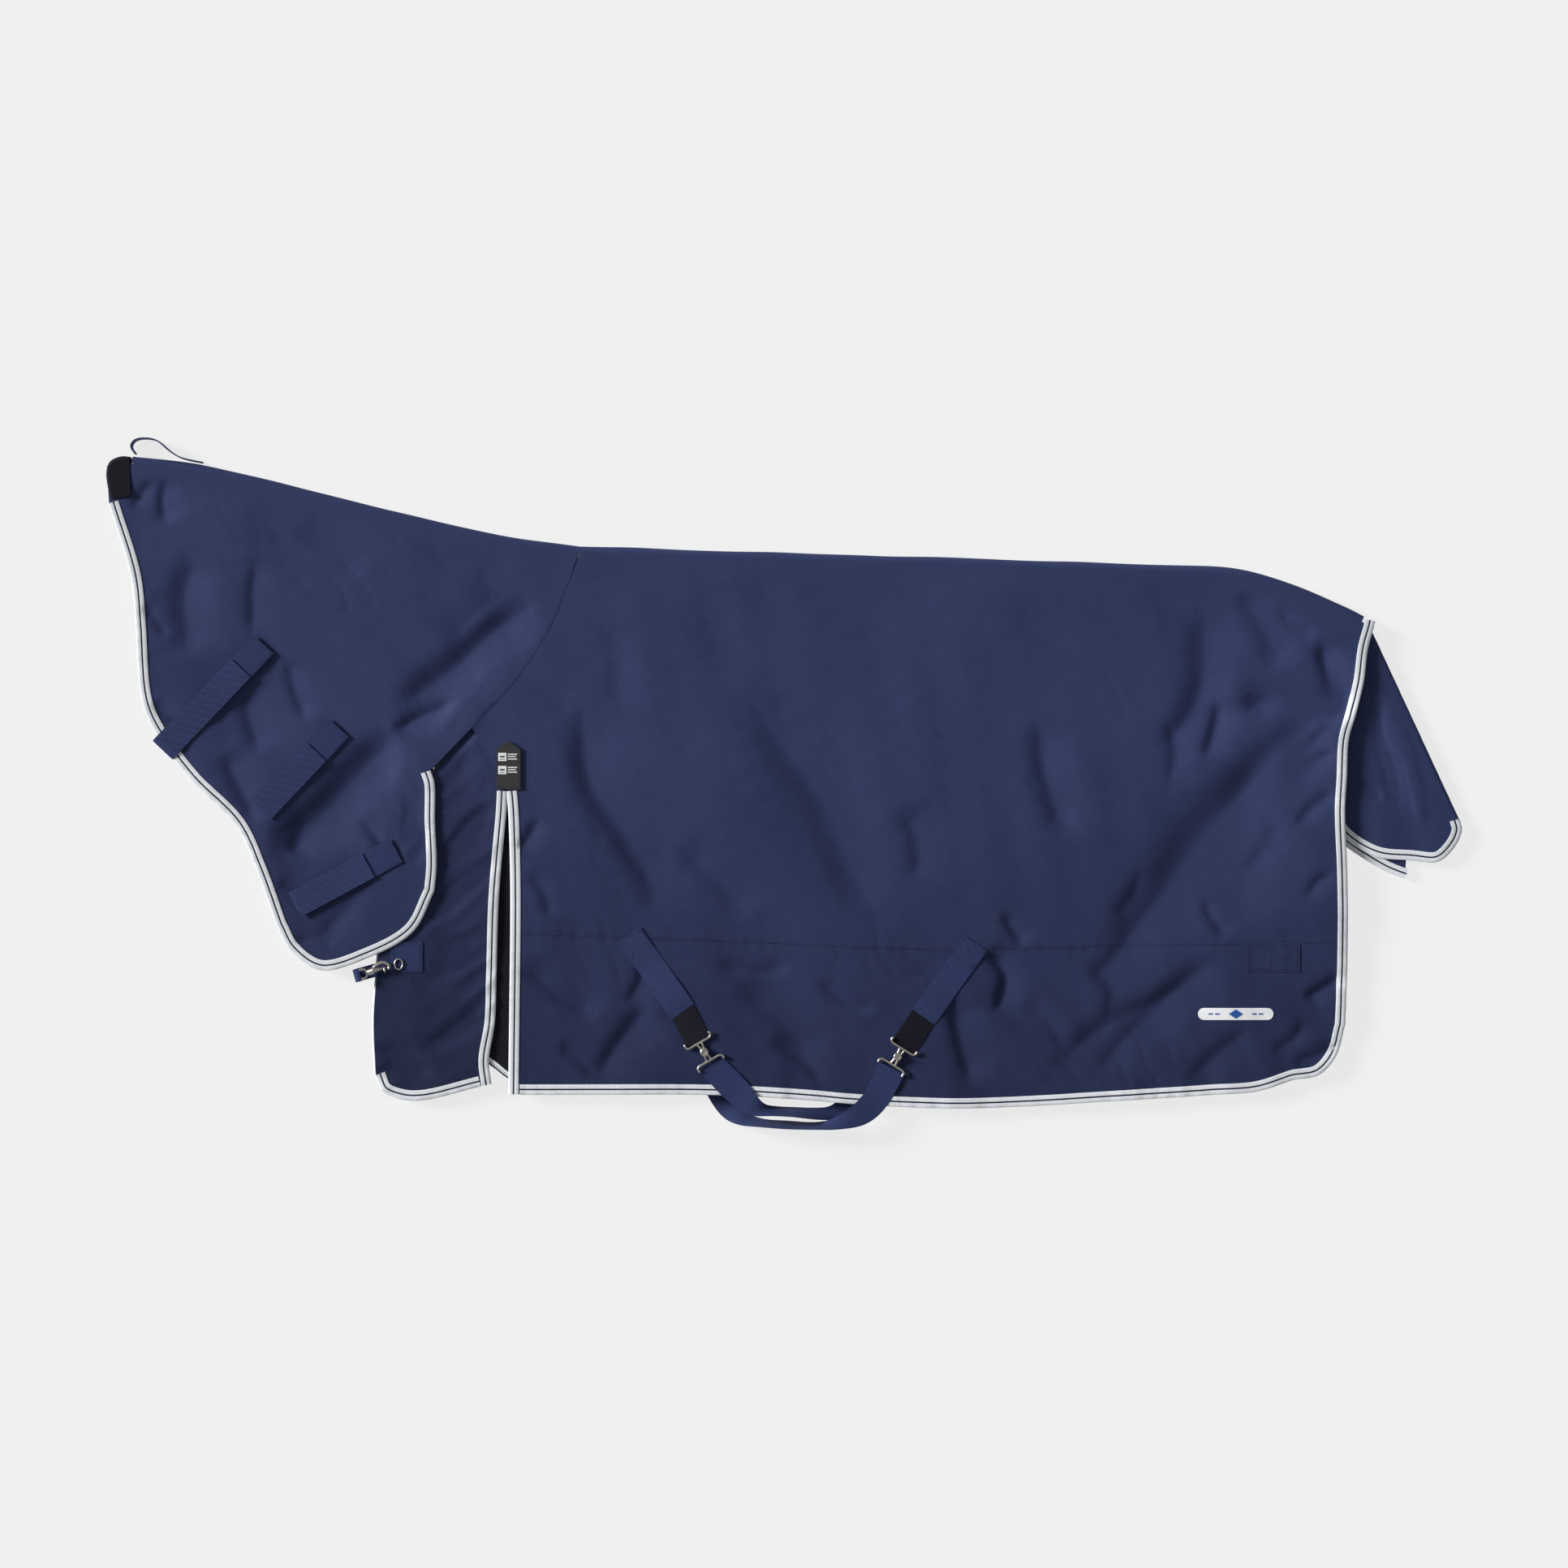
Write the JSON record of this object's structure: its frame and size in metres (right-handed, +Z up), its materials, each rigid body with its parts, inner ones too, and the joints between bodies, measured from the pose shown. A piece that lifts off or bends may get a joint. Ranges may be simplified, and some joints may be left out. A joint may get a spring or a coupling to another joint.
{
  "type": "turnout rug",
  "caption": "Folded waterproof horse turnout rug with sewn neck cover, bound edges, shoulder gussets, tail flap, crossed belly straps, neck straps and a chest snap.",
  "frame": {"origin": "under the middle of the folded rug's bounding box, on the surface that it lies on", "axes": "+X towards the tail, +Y towards the spine fold, +Z up from the surface"},
  "size_m": [2.4863, 1.2663, 0.048],
  "materials": {
    "navy_shell": "tightly woven waterproof polyester, satin sheen, navy",
    "dark_lining": "smooth black nylon lining, slight sheen",
    "binding_tape": "ribbed ice-white twill tape with one navy line along its middle",
    "navy_webbing": "ribbed navy polyester webbing, matt",
    "black_elastic": "matt black stretch fabric",
    "nickel_metal": "nickel-plated cast and drawn metal, lightly scratched",
    "label_rubber": "moulded dark grey rubber, matt, with white raised marks",
    "badge_white": "white embroidered badge with a plain blue pattern"
  },
  "bodies": {
    "root": {"near_back_panel": "navy_shell", "near_skirt_panel": "navy_shell", "near_chest_panel": "navy_shell", "near_neck_panel": "navy_shell", "near_body_lining": "dark_lining", "near_chest_lining": "dark_lining", "near_neck_lining": "dark_lining", "far_body_panel": "navy_shell", "far_chest_panel": "navy_shell", "far_neck_panel": "navy_shell", "far_body_lining": "dark_lining", "far_neck_lining": "dark_lining", "near_hem_binding": "binding_tape", "near_rear_binding": "binding_tape", "near_slit_rear_binding": "binding_tape", "near_slit_front_binding": "binding_tape", "near_chest_binding": "binding_tape", "near_neck_binding": "binding_tape", "far_hem_binding": "binding_tape", "far_neck_binding": "binding_tape", "near_gusset": "dark_lining", "far_gusset": "dark_lining", "near_gusset_binding": "binding_tape", "spine_fold": "navy_shell", "poll_cap": "black_elastic", "poll_loop": "navy_webbing", "neck_strap_front_anchor": "navy_webbing", "neck_strap_middle_anchor": "navy_webbing", "neck_strap_rear_anchor": "navy_webbing", "belly_strap_front_webbing": "navy_webbing", "belly_strap_front_elastic": "black_elastic", "belly_clip_front_plate": "nickel_metal", "belly_clip_front_hook": "nickel_metal", "belly_strap_rear_webbing": "navy_webbing", "belly_strap_rear_elastic": "black_elastic", "belly_clip_rear_plate": "nickel_metal", "belly_clip_rear_hook": "nickel_metal", "belly_strap_front_run": "navy_webbing", "belly_strap_rear_run": "navy_webbing", "far_anchor_front": "navy_webbing", "far_anchor_rear": "navy_webbing", "near_chest_patch": "navy_webbing", "chest_tab": "navy_webbing", "chest_snap_eye": "nickel_metal", "near_chest_ring": "nickel_metal", "near_leg_patch": "navy_webbing", "near_leg_ring": "nickel_metal", "far_leg_ring": "nickel_metal", "shoulder_label": "label_rubber", "flank_badge": "badge_white"},
    "neck_strap_front": {"neck_strap_front": "navy_webbing"},
    "neck_strap_middle": {"neck_strap_middle": "navy_webbing"},
    "neck_strap_rear": {"neck_strap_rear": "navy_webbing"},
    "tail_flap": {"tail_flap_near": "navy_shell", "tail_flap_far": "navy_shell", "tail_flap_near_binding": "binding_tape", "tail_flap_far_binding": "binding_tape"},
    "chest_snap": {"chest_snap_body": "nickel_metal", "chest_snap_spring": "nickel_metal"},
    "chest_snap_bolt": {"chest_snap_bolt": "nickel_metal"}
  },
  "joints": [
    {"name": "neck_strap_front_lift", "type": "hinge", "parent": "root", "child": "neck_strap_front", "pos_m": [-0.98211, 0.22531, 0.0291], "axis": [-0.7256, 0.6882, 0], "range_deg": [0, 150]},
    {"name": "neck_strap_middle_lift", "type": "hinge", "parent": "root", "child": "neck_strap_middle", "pos_m": [-0.84398, 0.07219, 0.0291], "axis": [-0.7285, 0.6851, 0], "range_deg": [0, 150]},
    {"name": "neck_strap_rear_lift", "type": "hinge", "parent": "root", "child": "neck_strap_rear", "pos_m": [-0.74721, -0.14111, 0.0291], "axis": [-0.4755, 0.8797, 0], "range_deg": [0, 150]},
    {"name": "tail_flap_swing", "type": "hinge", "parent": "root", "child": "tail_flap", "pos_m": [1.062, 0.276, 0.012], "axis": [0, 0, 1], "range_deg": [-10, 22]},
    {"name": "chest_snap_swivel", "type": "hinge", "parent": "root", "child": "chest_snap", "pos_m": [-0.766, -0.346, 0.03], "axis": [0.9638, 0.2667, 0], "range_deg": [-30, 45]},
    {"name": "chest_snap_bolt_slide", "type": "slide", "parent": "chest_snap", "child": "chest_snap_bolt", "axis": [-0.9638, -0.2667, 0], "range_m": [0, 0.006], "stiffness_N_per_m": 400, "springref_m": -0.002, "deforming": ["chest_snap_spring"]}
  ]
}
